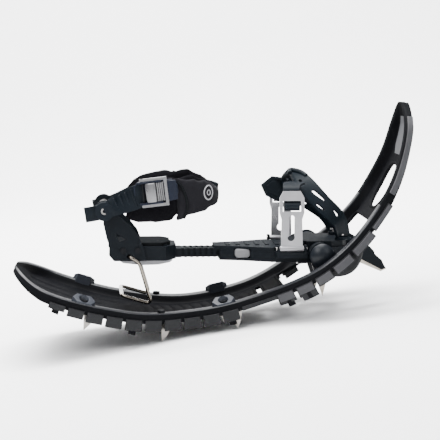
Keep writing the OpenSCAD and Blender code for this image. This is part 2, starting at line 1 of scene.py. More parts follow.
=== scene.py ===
"""Looks of the flexible snowshoe with its step-in binding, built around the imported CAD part."""

import json
import math

import bmesh
import bpy
from mathutils import Matrix, Vector, noise
from mathutils.bvhtree import BVHTree

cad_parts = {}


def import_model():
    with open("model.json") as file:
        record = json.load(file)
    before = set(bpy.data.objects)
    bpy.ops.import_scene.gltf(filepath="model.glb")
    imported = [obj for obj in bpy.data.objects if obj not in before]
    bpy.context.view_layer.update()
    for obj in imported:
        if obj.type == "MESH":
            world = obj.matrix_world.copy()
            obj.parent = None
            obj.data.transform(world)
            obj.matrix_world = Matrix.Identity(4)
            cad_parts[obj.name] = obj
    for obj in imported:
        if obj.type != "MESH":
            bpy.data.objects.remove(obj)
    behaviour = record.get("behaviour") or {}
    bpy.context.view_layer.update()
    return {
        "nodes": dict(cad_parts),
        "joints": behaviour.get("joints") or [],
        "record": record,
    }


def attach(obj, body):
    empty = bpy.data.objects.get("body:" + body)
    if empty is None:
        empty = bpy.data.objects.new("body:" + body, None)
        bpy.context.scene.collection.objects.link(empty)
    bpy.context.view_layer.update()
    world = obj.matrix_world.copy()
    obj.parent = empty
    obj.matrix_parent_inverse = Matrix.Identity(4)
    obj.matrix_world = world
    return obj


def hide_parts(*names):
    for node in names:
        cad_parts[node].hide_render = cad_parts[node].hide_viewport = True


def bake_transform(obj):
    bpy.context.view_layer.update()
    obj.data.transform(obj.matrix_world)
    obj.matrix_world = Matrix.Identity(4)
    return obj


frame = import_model()
scene = bpy.context.scene
NODES = frame["nodes"]
JOINTS = {j["name"]: j for j in frame["joints"]}

# ---- Placing: shapes are drawn in millimetres in the level binding frame ----
AXIS = JOINTS["length_slide"]["axis"]
PITCH = math.atan2(-AXIS[2], AXIS[0])
TURN = Matrix.Rotation(PITCH, 3, "Y")
PIVOT = Vector((116, 0, -36))
SHIFT = Vector(JOINTS["toe_pivot"]["pos_m"]) * 1000 - TURN @ PIVOT


def world(p):
    """A point of the binding frame in the part's own frame, in metres."""
    return (TURN @ Vector(p) + SHIFT) / 1000


BUCKLE = Matrix.Rotation(math.radians(-7), 3, "Y") @ Matrix.Rotation(math.radians(-5.4), 3, "Z")
BUCKLE_AT = Vector((-82, -62.4, 41.5))


def on_buckle(p):
    return BUCKLE_AT + BUCKLE @ Vector(p)


def clamp(v, low=0.0, high=1.0):
    return max(low, min(high, v))


def ease(v):
    v = clamp(v)
    return v * v * (3 - 2 * v)


def between(table, s):
    """Value at s in a table of straight stretches."""
    if s <= table[0][0]:
        return table[0][1]
    for (s0, v0), (s1, v1) in zip(table, table[1:]):
        if s <= s1:
            return v0 + (v1 - v0) * (s - s0) / (s1 - s0)
    return table[-1][1]


def smooth_path(points, count):
    """Catmull-Rom curve through the points."""
    pts = [Vector(p) for p in points]
    n = len(pts) - 1
    out = []
    for i in range(count + 1):
        t = i / count * n
        k = min(int(t), n - 1)
        f = t - k
        a, b, c, d = pts[max(k - 1, 0)], pts[k], pts[k + 1], pts[min(k + 2, n)]
        out.append(0.5 * (2 * b + (c - a) * f + (2 * a - 5 * b + 4 * c - d) * f * f
                          + (3 * b - a - 3 * c + d) * f * f * f))
    return out


# ---- Materials ----
def add(tree, kind, **values):
    """A shader node with its sockets set; an underscore stands for a space."""
    node = tree.nodes.new(kind)
    for name, value in values.items():
        name = name.replace("_", " ")
        if name in node.inputs:
            node.inputs[name].default_value = value
    return node


def new_material(name, colour, rough, metal=0.0, grain=1500.0, depth=0.12, mottle=0.18,
                 streak=0.0, weave=0.0, sheen=0.0, coat=0.14, specks=0.0):
    """Procedural finish: cloudy colour, uneven roughness, fine grain, scratches or a weave."""
    mat = bpy.data.materials.new(name)
    mat.use_nodes = True
    tree = mat.node_tree
    link = tree.links.new
    shader = tree.nodes["Principled BSDF"]
    coord = add(tree, "ShaderNodeTexCoord").outputs["Object"]

    cloud = add(tree, "ShaderNodeTexNoise", Scale=38.0, Detail=6.0, Roughness=0.62)
    link(coord, cloud.inputs["Vector"])
    mix = add(tree, "ShaderNodeMix")
    mix.data_type = "RGBA"
    mix.inputs[6].default_value = tuple(c * (1 - mottle) for c in colour) + (1,)
    mix.inputs[7].default_value = tuple(min(1.0, c * (1 + mottle)) for c in colour) + (1,)
    link(cloud.outputs[0], mix.inputs[0])
    shade = mix.outputs[2]

    stretch = add(tree, "ShaderNodeMapping", Scale=(60.0, 900.0, 260.0), Rotation=(0.2, 0.3, 0.4))
    link(coord, stretch.inputs["Vector"])
    lines = add(tree, "ShaderNodeTexNoise", Scale=1.0, Detail=4.0, Roughness=0.7)
    link(stretch.outputs[0], lines.inputs["Vector"])
    scratch = add(tree, "ShaderNodeMapRange", From_Min=0.62, From_Max=0.74, To_Min=0.0, To_Max=1.0)
    link(lines.outputs[0], scratch.inputs["Value"])
    worn = add(tree, "ShaderNodeMix")
    worn.data_type = "RGBA"
    worn.inputs[7].default_value = tuple(min(1.0, c * 1.6 + 0.03) for c in colour) + (1,)
    amount = add(tree, "ShaderNodeMath")
    amount.operation = "MULTIPLY"
    amount.inputs[1].default_value = 0.12 + specks
    link(scratch.outputs[0], amount.inputs[0])
    link(amount.outputs[0], worn.inputs[0])
    link(shade, worn.inputs[6])
    link(worn.outputs[2], shader.inputs["Base Color"])

    patch = add(tree, "ShaderNodeTexNoise", Scale=140.0, Detail=4.0)
    link(coord, patch.inputs["Vector"])
    rough_range = add(tree, "ShaderNodeMapRange", From_Min=0.3, From_Max=0.7,
                      To_Min=max(0.05, rough - 0.09), To_Max=min(1.0, rough + 0.1))
    link(patch.outputs[0], rough_range.inputs["Value"])
    link(rough_range.outputs[0], shader.inputs["Roughness"])

    fine = add(tree, "ShaderNodeTexNoise", Scale=grain, Detail=3.0)
    link(coord, fine.inputs["Vector"])
    height = fine.outputs[0]
    if streak:
        brushed = add(tree, "ShaderNodeMath")
        brushed.operation = "MULTIPLY_ADD"
        brushed.inputs[1].default_value = streak
        link(lines.outputs[0], brushed.inputs[0])
        link(height, brushed.inputs[2])
        height = brushed.outputs[0]
    if weave:
        total = None
        for direction in ("X", "Z"):
            thread = add(tree, "ShaderNodeTexWave", Scale=weave, Distortion=0.6, Detail=1.0)
            thread.bands_direction = direction
            link(coord, thread.inputs["Vector"])
            if total is None:
                total = thread.outputs["Fac"]
            else:
                both = add(tree, "ShaderNodeMath")
                both.operation = "ADD"
                link(total, both.inputs[0])
                link(thread.outputs["Fac"], both.inputs[1])
                total = both.outputs[0]
        thick = add(tree, "ShaderNodeMath")
        thick.operation = "MULTIPLY_ADD"
        thick.inputs[1].default_value = 1.4
        link(total, thick.inputs[0])
        link(height, thick.inputs[2])
        height = thick.outputs[0]
    bump = add(tree, "ShaderNodeBump", Strength=depth, Distance=0.0004)
    link(height, bump.inputs["Height"])
    link(bump.outputs[0], shader.inputs["Normal"])

    shader.inputs["Metallic"].default_value = metal
    shader.inputs["Specular IOR Level"].default_value = 0.5 if metal else 0.0
    shader.inputs["Coat Weight"].default_value = 0.0 if metal else coat
    shader.inputs["Coat Roughness"].default_value = rough
    link(bump.outputs[0], shader.inputs["Coat Normal"])
    shader.inputs["Sheen Weight"].default_value = sheen
    return mat


# Colour, roughness and what differs from the plain finish, by material slot
FINISHES = {
    "deck_plastic": ((0.0036, 0.0038, 0.0045), 0.42, dict(depth=0.14, coat=0.035)),
    "insert_plastic": ((0.055, 0.056, 0.060), 0.55, dict(grain=500.0, depth=0.6)),
    "spike_steel": ((0.21, 0.20, 0.185), 0.34, dict(metal=0.9, streak=1.2, mottle=0.3)),
    "fastener_steel": ((0.30, 0.29, 0.28), 0.32, dict(metal=0.9, streak=0.8)),
    "black_steel": ((0.0056, 0.006, 0.0072), 0.42, dict(streak=0.5, coat=0.1)),
    "binding_plastic": ((0.0044, 0.0057, 0.0074), 0.42, dict(depth=0.16, coat=0.09)),
    "cap_plastic": ((0.0058, 0.0074, 0.0100), 0.34, dict(depth=0.08, coat=0.3)),
    "bush_plastic": ((0.35, 0.34, 0.31), 0.45, dict(depth=0.08)),
    "harness_rubber": ((0.0036, 0.0058, 0.0080), 0.42, dict(depth=0.12, coat=0.13)),
    "strap_plastic": ((0.0042, 0.0062, 0.0086), 0.42, dict(depth=0.14, coat=0.13)),
    "link_aluminium": ((0.23, 0.23, 0.24), 0.36, dict(metal=0.8, depth=0.2, mottle=0.16)),
    "button_plastic": ((0.13, 0.13, 0.135), 0.5, dict(depth=0.3)),
    "damper_rubber": ((0.22, 0.22, 0.23), 0.42, dict(depth=0.1, mottle=0.1, coat=0.3)),
    "tread_rubber": ((0.0050, 0.0057, 0.0064), 0.6, dict(depth=0.3, coat=0.04)),
    "wire_steel": ((0.15, 0.135, 0.115), 0.22, dict(metal=1.0, streak=0.5, mottle=0.25)),
    "pad_fabric": ((0.0036, 0.0035, 0.0044), 0.8, dict(weave=330.0, depth=0.5, sheen=0.01, coat=0.02)),
    "sleeve_fabric": ((0.0078, 0.0077, 0.0095), 0.6, dict(weave=420.0, depth=0.4, sheen=0.02, coat=0.06)),
    "badge_print": ((0.24, 0.24, 0.25), 0.5, dict(depth=0.1)),
    "buckle_metal": ((0.15, 0.15, 0.155), 0.36, dict(metal=0.8, streak=0.5, depth=0.2)),
    "tab_plastic": ((0.0060, 0.0080, 0.0145), 0.34, dict(depth=0.08, coat=0.2)),
}
MATERIALS = {name: new_material(name, colour, rough, **extra)
             for name, (colour, rough, extra) in FINISHES.items()}
# Rail crest: a lighter colour than the deck, a painted highlight, with a stronger coat
CREST_PAINTED_HIGHLIGHT = new_material("ridge_painted_highlight", (0.011, 0.0115, 0.0135), 0.34, depth=0.08, specks=0.08, coat=0.32)
# Lighter copy of the block colour for faces lit from above: a painted highlight
BLOCK_PAINTED_HIGHLIGHT = new_material("block_painted_highlight", (0.030, 0.030, 0.033), 0.42, depth=0.14, specks=0.12, coat=0.3)
BLOCK_DARK = new_material("block_dark", (0.0088, 0.0092, 0.0102), 0.38, depth=0.14, specks=0.08, coat=0.2)
BOSS = new_material("boss_plastic", (0.020, 0.0225, 0.029), 0.36, depth=0.08, coat=0.35)
FANG = new_material("fang_steel", (0.30, 0.275, 0.235), 0.36, metal=0.85, streak=1.2, mottle=0.25)
FLOOR = new_material("floor_paper", (0.88, 0.88, 0.88), 0.9, grain=900.0, depth=0.05, mottle=0.012, coat=0.0)


def paint_shade_above(mat, low, high, behind):
    """Paint shade over the finish: leave it bright below one height and let it go dark towards another,
    behind one x.
    """
    tree = mat.node_tree
    shader = tree.nodes["Principled BSDF"]
    bright = shader.inputs["Base Color"].links[0].from_socket
    place = add(tree, "ShaderNodeTexCoord")
    parts = add(tree, "ShaderNodeSeparateXYZ")
    tree.links.new(place.outputs["Object"], parts.inputs[0])
    height = add(tree, "ShaderNodeMapRange", From_Min=low, From_Max=high, To_Min=0.0, To_Max=1.0)
    tree.links.new(parts.outputs["Z"], height.inputs["Value"])
    rear = add(tree, "ShaderNodeMapRange", From_Min=behind, From_Max=behind + 0.01, To_Min=1.0, To_Max=0.0)
    tree.links.new(parts.outputs["X"], rear.inputs["Value"])
    both = add(tree, "ShaderNodeMath")
    both.operation = "MULTIPLY"
    tree.links.new(height.outputs[0], both.inputs[0])
    tree.links.new(rear.outputs[0], both.inputs[1])
    mix = add(tree, "ShaderNodeMix")
    mix.data_type = "RGBA"
    mix.inputs[7].default_value = (0.012, 0.012, 0.013, 1)
    tree.links.new(both.outputs[0], mix.inputs[0])
    tree.links.new(bright, mix.inputs[6])
    tree.links.new(mix.outputs[2], shader.inputs["Base Color"])


# Painted shade on the upper part of the toe crampon's rear fang, where it sits between the toe plate and the
# rail
paint_shade_above(FANG, world((119, 32, -80)).z, world((119, 32, -70)).z, world((152, 32, -60)).x)


# ---- Shapes ----
class Shape:
    """Collects points in the binding frame, in millimetres, and the faces between them."""

    def __init__(self):
        self.points, self.faces, self.mats = [], [], []

    def loft(self, rings, mat=0, loop=False):
        """Skin through rings of points, closed at both ends or joined into a loop."""
        base, n, m = len(self.points), len(rings[0]), len(rings)
        for ring in rings:
            self.points += [Vector(p) for p in ring]
        for i in range(m if loop else m - 1):
            for j in range(n):
                a, b = base + i * n + j, base + i * n + (j + 1) % n
                k = ((i + 1) % m) * n
                self.faces.append((a, b, base + k + (j + 1) % n, base + k + j))
                self.mats.append(mat(i, j) if callable(mat) else mat)
        if not loop:
            end = 0 if callable(mat) else mat
            self.faces.append([base + j for j in range(n)][::-1])
            self.faces.append([base + (m - 1) * n + j for j in range(n)])
            self.mats += [end, end]

    def prism(self, outline, y0, y1, mat=0, place=Vector):
        """Outline in x and z, drawn out from y0 to y1."""
        self.loft([[place((x, y, z)) for x, z in outline] for y in (y0, y1)], mat)

    def box(self, x, y, z):
        self.prism([(x[0], z[0]), (x[1], z[0]), (x[1], z[1]), (x[0], z[1])], y[0], y[1])

    def tube(self, path, radius, sides=12, loop=False, flat=1.0):
        """Round or flattened bar along a path."""
        path = [Vector(p) for p in path]
        n = len(path)
        normal, rings = None, []
        for i, p in enumerate(path):
            before = path[(i - 1) % n] if loop or i else p
            after = path[(i + 1) % n] if loop or i < n - 1 else p
            along = (after - before).normalized()
            if normal is None:
                normal = along.orthogonal().normalized()
            normal = (normal - along * normal.dot(along)).normalized()
            side = along.cross(normal)
            rings.append([p + normal * (radius * math.cos(a)) + side * (radius * flat * math.sin(a))
                          for a in (2 * math.pi * j / sides for j in range(sides))])
        self.loft(rings, loop=loop)

    def disc(self, centre, axis, radius, depth, sides=32, hole=0.0):
        """Short cylinder from centre along axis; a hole leaves a ring."""
        axis = Vector(axis).normalized()
        u = axis.orthogonal().normalized()
        v = axis.cross(u)
        centre = Vector(centre)

        def circle(r, h):
            return [centre + axis * h + (u * math.cos(a) + v * math.sin(a)) * r
                    for a in (2 * math.pi * j / sides for j in range(sides))]
        if hole:
            rings = [circle(radius, 0), circle(radius, depth), circle(hole, depth), circle(hole, 0)]
            self.loft(rings, loop=True)
        else:
            self.loft([circle(radius, 0), circle(radius, depth)])

    def build(self, name, materials):
        mesh = bpy.data.meshes.new(name)
        mesh.from_pydata([world(p) for p in self.points], [], self.faces)
        for m in materials:
            mesh.materials.append(m)
        mesh.polygons.foreach_set("material_index", self.mats)
        mesh.update()
        tidy = bmesh.new()
        tidy.from_mesh(mesh)
        bmesh.ops.remove_doubles(tidy, verts=tidy.verts, dist=1e-6)
        bmesh.ops.recalc_face_normals(tidy, faces=tidy.faces)
        tidy.to_mesh(mesh)
        tidy.free()
        obj = bpy.data.objects.new(name, mesh)
        scene.collection.objects.link(obj)
        return obj


def applied(obj):
    """The object's mesh with its modifiers made real."""
    bpy.context.view_layer.update()
    deps = bpy.context.evaluated_depsgraph_get()
    mesh = bpy.data.meshes.new_from_object(obj.evaluated_get(deps))
    obj.modifiers.clear()
    obj.data = mesh
    return obj


def cut(obj, cutters):
    """Take the cutters out of the object and drop them."""
    for tool in cutters:
        mod = obj.modifiers.new("cut", "BOOLEAN")
        mod.object, mod.operation, mod.solver = tool, "DIFFERENCE", "EXACT"
    applied(obj)
    for tool in cutters:
        bpy.data.objects.remove(tool)
    return obj


def bevelled(obj, width, angle=32):
    mod = obj.modifiers.new("edge", "BEVEL")
    mod.width, mod.segments = width / 1000, 2
    mod.limit_method, mod.angle_limit = "ANGLE", math.radians(angle)
    mod.harden_normals = True


def dress(obj, body, stands_for=(), bevel=0.0, sharp=34):
    """Shade a piece, soften its edges and say what it rides and which CAD nodes it replaces."""
    obj.data.shade_smooth()
    obj.data.set_sharp_from_angle(angle=math.radians(sharp))
    if bevel:
        bevelled(obj, bevel)
    if body:
        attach(obj, body)
    if stands_for:
        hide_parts(*stands_for)


# ---- CAD nodes: the record's material, but dark fasteners and a scratched steel toe crampon with painted shade on its upper part; softened edges ----
EDGES = {
    "toe_plate": 0.9, "toe_cover": 0.8, "heel_plate": 1.0, "heel_arm_right": 0.8, "heel_arm_left": 0.8,
    "side_link_right": 0.6, "side_link_left": 0.6, "length_rail": 0.4, "heel_damper": 1.0, "heel_tread": 0.5,
    "crampon_fins": 0.8, "toe_crampon": 0.35, "pivot_bracket_right": 0.8, "pivot_bracket_left": 0.8,
    "buckle_frame": 0.9, "thumb_tab": 0.8, "pivot_cap_right": 0.4, "pivot_cap_left": 0.4,
}
SMALL_EDGE = 0.25
DARK = ("spike_screws", "buckle_pin", "pawl_pin", "arm_screws")
for item in frame["record"]["subparts"]:
    obj = NODES[item["node"]]
    finish = MATERIALS["black_steel" if item["node"] in DARK else item["material_slot"]]
    obj.data.materials.clear()
    obj.data.materials.append(FANG if item["node"] == "toe_crampon" else finish)
    weld = obj.modifiers.new("weld", "WELD")
    weld.merge_threshold = 1e-6
    bevelled(obj, EDGES.get(item["node"], SMALL_EDGE), 38)

# ---- Deck: the same curve and section as the CAD part, in finer steps ----
LENGTH = 605
RIDGE_H, WEB = 10, 3
TAIL_END = (-247.4, -51.3)
SLOPES = ((0, -29.5), (20, -29.5), (60, -19), (150, -8), (230, 8), (400, 38), (520, 66), (605, 88))
HALVES = ((0, 101), (60, 101), (140, 93), (225, 71), (285, 71), (385, 105), (490, 86), (570, 65), (605, 59))
SKIRT = ((0, 7), (40, 12), (60, 15), (90, 19), (130, 21), (400, 21), (500, 11), (605, 8))
SPINE_STEP = 5
SPINE = [Vector(TAIL_END)]
for k in range(LENGTH // SPINE_STEP + 2):
    lean = math.radians(between(SLOPES, (k + 0.5) * SPINE_STEP))
    SPINE.append(SPINE[-1] + SPINE_STEP * Vector((math.cos(lean), math.sin(lean))))


def deck_point(s, y, n):
    """Point of the deck: s along its curve, y across, n square to it."""
    k = int(s // SPINE_STEP)
    f = s / SPINE_STEP - k
    at = SPINE[k] * (1 - f) + SPINE[k + 1] * f
    lean = math.radians(between(SLOPES, s))
    return Vector((at[0] - n * math.sin(lean), y, at[1] + n * math.cos(lean)))


def end_round(d, r):
    """Share of the width left at distance d from an end of radius r."""
    return 1 if d >= r else math.sqrt(1 - ((r - d) / (r + 1)) ** 2)


def half(s):
    """Half of the deck's width."""
    width = HALVES[-1][1]
    for (s0, v0), (s1, v1) in zip(HALVES, HALVES[1:]):
        if s <= s1:
            width = v0 + (v1 - v0) * (1 - math.cos(math.pi * clamp((s - s0) / (s1 - s0)))) / 2
            break
    return width * end_round(s, 50) * end_round(LENGTH - s, 55)


def ramp(s):
    """How far the web has sunk below the rails, from the ends inwards."""
    return min(1, (min(s, LENGTH - s) + 3) / 28)


def span(v, low, high, soft=8):
    """1 between low and high, easing to 0 outside."""
    return ease((v - low) / soft) * ease((high - v) / soft)


def groove(v, centre, width):
    """Round-bottomed dip of depth 1 about the centre."""
    return max(0.0, 1 - abs(v - centre) / width) ** 0.5 if abs(v - centre) < width else 0.0


def relief(s, y):
    """Height of the moulded pattern on the web."""
    a = abs(y)
    n = -2.6 * groove(a, 34, 6) * span(s, 20, 150)
    n -= 1.6 * groove(a, 0, 4) * span(s, 28, 120)
    bow = (s + y * y / 220) / 11.5
    n += 1.5 * max(0.0, math.sin(2 * math.pi * bow)) * span(s, 158, 300, 10) * span(a, -20, 40, 6)
    n -= 2.2 * groove(a, 17, 4) * span(s, 538, 596)
    n -= 1.6 * groove(a, 66, 5) * span(s, 330, 470)
    return n


WEB_STEPS = 34


def deck_ring(s):
    """Outline of the deck and both rails at one station."""
    h, r = half(s), ramp(s)
    k = min(1, h / 48)
    w, low = -RIDGE_H * r, -min(12, between(SKIRT, s))
    foot = h - 24 * k
    under = w - WEB - 2 * (1 - r)
    side = [(foot * i / WEB_STEPS, w + relief(s, foot * i / WEB_STEPS) * r) for i in range(WEB_STEPS + 1)]
    side += [(h - 22 * k, w * 0.86), (h - 20 * k, w * 0.5), (h - 18 * k, w * 0.15), (h - 16.5 * k, w * 0.03),
             (h - 15 * k, 0), (h - 11 * k, -0.9), (h - 7.5 * k, -0.25), (h - 6 * k, 0), (h - 4.4 * k, -0.5),
             (h - 3.4 * k, -1.4), (h - 3 * k, -2.6), (h - 3 * k, low), (h - 7 * k, low), (h - 8 * k, -4.5),
             (h - 15 * k, -4.5), (h - 20 * k, under), (foot * 0.66, under), (foot * 0.33, under), (0, under)]
    return [(y, n) for y, n in side] + [(-y, n) for y, n in side[-2:0:-1]]


def stations(first, last, step):
    """Evenly spaced distances, about a step apart."""
    count = max(1, round((last - first) / step))
    return [first + (last - first) * i / count for i in range(count + 1)]


NOSE_RIM = 478
ENDS = [0, 0.7, 1.6, 3, 5, 7.5, 10.5, 14]
ALONG = ENDS + stations(17, LENGTH - 17, 2.4) + [LENGTH - e for e in reversed(ENDS)]
shell = Shape()
ring_size = len(deck_ring(100))
ridge_from, ridge_to = WEB_STEPS + 3, WEB_STEPS + 10


def deck_face(i, j):
    """The crest of a rail takes the lighter colour of a painted highlight as far as the nose's rim."""
    j = min(j, ring_size - 1 - j)
    return 1 if ridge_from <= j < ridge_to and ALONG[i] < NOSE_RIM else 0


shell.loft([[deck_point(s, y, n) for y, n in deck_ring(s)] for s in ALONG], mat=deck_face)
deck = shell.build("deck_shell", [MATERIALS["deck_plastic"], CREST_PAINTED_HIGHLIGHT])


def rounded_outline(s0, s1, w, r, corner=6):
    """Rounded rectangle in deck distances."""
    out, side = [], w / 2 - r
    for cs, cy, a0 in ((s1 - r, side, 0), (s0 + r, side, 90), (s0 + r, -side, 180), (s1 - r, -side, 270)):
        out += [(cs + r * math.cos(math.radians(a0 + 90 * i / corner)),
                 cy + r * math.sin(math.radians(a0 + 90 * i / corner))) for i in range(corner + 1)]
    dense = []
    for (a, b), (c, d) in zip(out, out[1:] + out[:1]):
        steps = max(1, int(math.hypot(c - a, d - b) / 8))
        dense += [(a + (c - a) * i / steps, b + (d - b) * i / steps) for i in range(steps)]
    return dense


OPENINGS = [(331, 460, 122, 10), (474, 532, 60, 22), (300, 309, 70, 4)]
tools = []
for o in OPENINGS:
    edge = rounded_outline(*o)
    tool = Shape()
    tool.loft([[deck_point(s, y, n) for s, y in edge] for n in (-30, 12)])
    tools.append(tool.build("cutter", []))
cut(deck, tools)
dress(deck, "deck", ["deck", "side_rail_right", "side_rail_left"], sharp=40)

trim = Shape()
for o in OPENINGS:
    edge = rounded_outline(*o)
    trim.tube([deck_point(s, y, -RIDGE_H - 0.6) for s, y in edge], 2.2, sides=10, loop=True)
# Moulded pegs below the skirt
PEG_AT = (60, 149, 262, 330, 353)
PEG_INSET, PEG_THICK, PEG_REACH, PEG_HALF = 4.5, 3.5, 5, 4
for s in PEG_AT:
    for side in (-1, 1):
        y = half(s) - PEG_INSET
        low, high = -between(SKIRT, s) - PEG_REACH, -between(SKIRT, s) + 3
        peg = ((-PEG_HALF, low + 1), (PEG_HALF, low), (PEG_HALF, high), (-PEG_HALF, high))
        trim.loft([[deck_point(s + ds, side * out, n) for ds, n in peg] for out in (y, y + PEG_THICK)])
trim = trim.build("deck_trim", [MATERIALS["deck_plastic"]])
dress(trim, "deck", bevel=0.6)

# Six-sided bosses over the rails for the spike screws: high inside, low outside
BOSS_AT = (88, 257)
BOSS_OUTLINE = ((-14.5, 0), (-9, -7.2), (9, -7.2), (14.5, 0), (9, 7.2), (-9, 7.2))
SCREW_INSET = 12
BOSS_LOW, BOSS_MID, SEAT = -6.4, 5, 1
BOSS_FALL = math.tan(math.radians(28))


def on_boss(s, side, ds, out, n):
    """Point near a spike's screw, along and out from the deck's edge there."""
    yaw = math.atan((half(s + 1) - half(s - 1)) / 2)
    ds, out = ds * math.cos(yaw) - out * math.sin(yaw), ds * math.sin(yaw) + out * math.cos(yaw)
    middle = deck_point(s, 0, 0)
    along = (deck_point(s + 0.5, 0, 0) - deck_point(s - 0.5, 0, 0)).normalized()
    lift = deck_point(s, 0, n) - middle
    return deck_point(s, side * (half(s) - SCREW_INSET + out), 0) + lift + along * ds


bosses, tools = Shape(), []
for s in BOSS_AT:
    for side in (-1, 1):
        rings = []
        for k, n in ((1, BOSS_LOW), (1, -1), (0.93, None)):
            rings.append([on_boss(s, side, x * k, y * k, BOSS_MID - y * k * BOSS_FALL if n is None else n)
                          for x, y in BOSS_OUTLINE])
        bosses.loft(rings)
        hollow, rings = Shape(), []
        for r, to_top in ((4.8, False), (6.6, True)):
            rings.append([on_boss(s, side, r * math.cos(a), r * math.sin(a),
                                  BOSS_MID - r * math.sin(a) * BOSS_FALL + 1 if to_top else SEAT)
                          for a in (2 * math.pi * j / 28 for j in range(28))])
        hollow.loft(rings)
        tools.append(hollow.build("cutter", []))
bosses = cut(bosses.build("spike_bosses", [BOSS]), tools)
dress(bosses, "deck", bevel=1.0)


def skirt_bar(shape, s0, s1, top, low, inner, outer, mat=0):
    """Bar that follows the deck's edge on both sides; the insets are from the half width."""
    for side in (-1, 1):
        rings = []
        for s in stations(s0, s1, 4):
            y0, y1 = side * (half(s) - inner), side * (half(s) - outer)
            rings.append([deck_point(s, y, n) for y, n in ((y0, low), (y1, low), (y1, top), (y0, top))])
        shape.loft(rings, mat)


blocks = Shape()
GAP = 3.5
REAR_BLOCKS_FROM, BLOCK_PITCH, REAR_BLOCK_COUNT = 49, 22.4, 10
for i in range(REAR_BLOCK_COUNT):
    a = REAR_BLOCKS_FROM + BLOCK_PITCH * i + GAP / 2
    b = REAR_BLOCKS_FROM + BLOCK_PITCH * (i + 1) - GAP / 2
    depth = -between(SKIRT, (a + b) / 2)
    skirt_bar(blocks, a, b, -8, depth, 5, 0)
FRONT_BLOCKS = (316, 339, 363, 387, 416, 451, 489)
TOE_BLOCKS_FROM, FACE_LOW = 362, -17.2
for a, b in zip(FRONT_BLOCKS, FRONT_BLOCKS[1:]):
    a, b = a + GAP / 2, b - GAP / 2
    depth = -between(SKIRT, (a + b) / 2)
    if a > TOE_BLOCKS_FROM:
        depth = max(depth, -18.5)
    skirt_bar(blocks, a, b, -7, depth, 5, 1.2)
    # the outer face of each front block takes the lighter block colour, a painted highlight
    skirt_bar(blocks, a + 1, b - 1, -8, max(depth + 1.5, FACE_LOW), 4, -0.2, mat=1)
# Lower edge of the block beside the toe, and the swelling of the rail in front of it
skirt_bar(blocks, 343, 361, -19, -26, 6, 1.4)
SWELL_FROM, SWELL_LONG, SWELL_TOP, SWELL_DEEP = 380, 52, 13.5, 14.5
for side in (-1, 1):
    rings = []
    for s in stations(SWELL_FROM + 4, SWELL_FROM + SWELL_LONG - 4, 2.5):
        dip = SWELL_TOP + SWELL_DEEP * math.sin(math.pi * (s - SWELL_FROM) / SWELL_LONG) ** 0.8
        rings.append([deck_point(s, side * (half(s) - y), -n) for y, n in
                      ((7, 9), (7, dip - 3), (9, dip), (14, dip), (17, dip - 4), (17, 5))])
    blocks.loft(rings)
# Plain rail at the waist and the long rim of the nose
skirt_bar(blocks, 276, 318, -7.5, -12.5, 5, 1.6)
# The nose's rim takes the lighter block colour, a painted highlight
RIM_SECTION = ((4, -9), (0.3, -9), (0.3, -2.5), (4, -2))
for side in (-1, 1):
    blocks.loft([[deck_point(s, side * (half(s) - inset), n) for inset, n in RIM_SECTION]
                 for s in stations(498, 590, 6)], 1)
blocks = blocks.build("deck_blocks", [BLOCK_DARK, BLOCK_PAINTED_HIGHLIGHT])
dress(blocks, "deck", ["grip_blocks_right", "grip_blocks_left"], bevel=0.7)

# Textured insert on the nose
insert = Shape()
RIB = 0.35
grid_s, grid_y = stations(543, 588, 2.2), stations(-26, 26, 2.2)
top, low = [], []
for s in grid_s:
    shrink = min(1, 0.55 + 0.45 * ease((s - 540) / 16)) * min(1, 0.5 + 0.5 * ease((592 - s) / 14))
    base = -RIDGE_H * ramp(s)
    top.append([deck_point(s, y * shrink, base + 1.6 + (RIB if int(y + 60) % 3 else 0)) for y in grid_y])
    low.append([deck_point(s, y * shrink, base - 1.0) for y in grid_y])
insert.loft([t + l[::-1] for t, l in zip(top, low)])
insert = insert.build("nose_grip", [MATERIALS["insert_plastic"]])
dress(insert, "deck", ["nose_insert"])

# ---- Toe harness: a band from the near rivet over the saddle to the far rivet ----
FRONT_EDGE = [(156, -21, -20), (148, -30, 8), (128, -31, 30), (109, -15, 51), (101, 0, 55.5), (97, 14, 52),
              (116, 30, 30), (141, 30, 10), (154, 22, -19)]
REAR_EDGE = [(139, -33, -20), (132, -40, -3), (110, -42, 18), (91, -32, 41), (83, 0, 57.5), (78, 30, 42),
             (98, 41, 18), (128, 40, -3), (139, 33, -20)]
BAND_STEPS, ACROSS = 88, 16
front_curve, rear_curve = smooth_path(FRONT_EDGE, BAND_STEPS), smooth_path(REAR_EDGE, BAND_STEPS)


def harness_at(u, v):
    """Point of the harness: u along the band, v from its front edge to its rear edge."""
    k = clamp(u) * BAND_STEPS
    i = min(int(k), BAND_STEPS - 1)
    f = k - i
    a = front_curve[i].lerp(front_curve[i + 1], f)
    b = rear_curve[i].lerp(rear_curve[i + 1], f)
    return a.lerp(b, v)


def harness_normal(u, v):
    du = harness_at(u + 0.01, v) - harness_at(u - 0.01, v)
    dv = harness_at(u, min(1, v + 0.05)) - harness_at(u, max(0, v - 0.05))
    return du.cross(dv).normalized()


harness = Shape()
rings = []
for i in range(BAND_STEPS + 1):
    u = i / BAND_STEPS
    outer, inner = [], []
    for j in range(ACROSS + 1):
        v = j / ACROSS
        p, n = harness_at(u, v), harness_normal(u, v)
        if n.dot(p - Vector((110, 0, 0))) < 0:
            n = -n
        rim = 0.9 * ease(1 - min(v, 1 - v) / 0.16)
        outer.append(p + n * (1.5 + rim))
        inner.append(p - n * 1.8)
    rings.append(outer + inner[::-1])
harness.loft(rings)
harness = harness.build("harness_band", [MATERIALS["harness_rubber"]])


